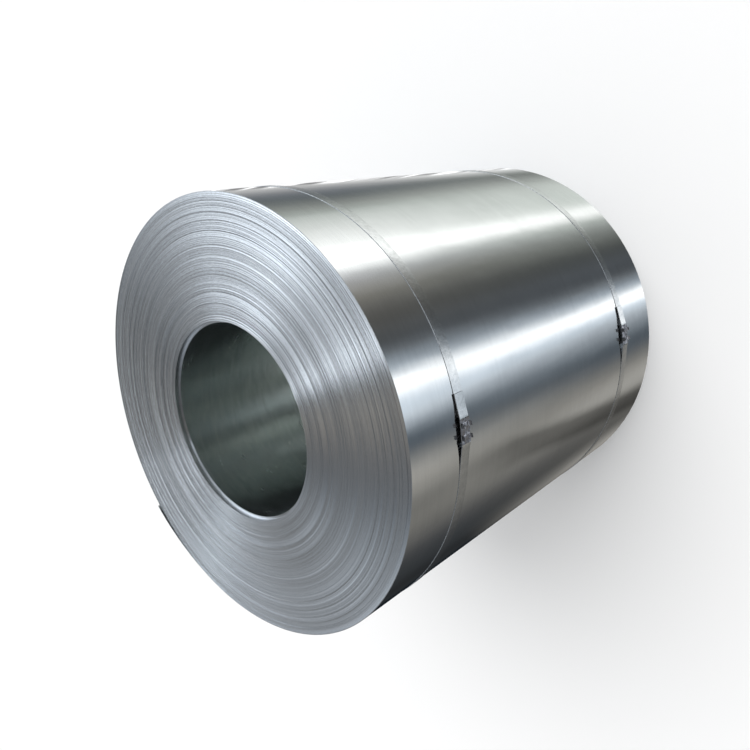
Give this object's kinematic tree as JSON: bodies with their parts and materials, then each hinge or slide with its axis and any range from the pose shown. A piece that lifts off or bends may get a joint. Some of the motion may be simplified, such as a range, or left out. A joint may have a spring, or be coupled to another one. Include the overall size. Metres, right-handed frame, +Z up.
{
  "type": "steel coil",
  "caption": "Coil of sheet steel strip standing on its end, with an open bore, bound by flat steel straps with crimped seals.",
  "frame": {"origin": "centre of the bore, half way up the strip's width", "axes": "+Z up along the bore axis, towards the end with the lifted corner; -Y towards the front, where the seals are; +X to the right seen from the front"},
  "size_m": [1.1394, 1.1442, 1.2214],
  "materials": {
    "strip_steel": "cold-rolled strip, bright and slightly blurred along the roll, with fine turn lines on the ends",
    "strap_steel": "plain steel strapping, satin",
    "seal_steel": "crimped steel seal, dull with bright edges"
  },
  "bodies": {
    "root": {"coil": "strip_steel", "upper_strap": "strap_steel", "lower_strap": "strap_steel", "upper_seal": "seal_steel", "lower_seal": "seal_steel"}
  },
  "joints": []
}
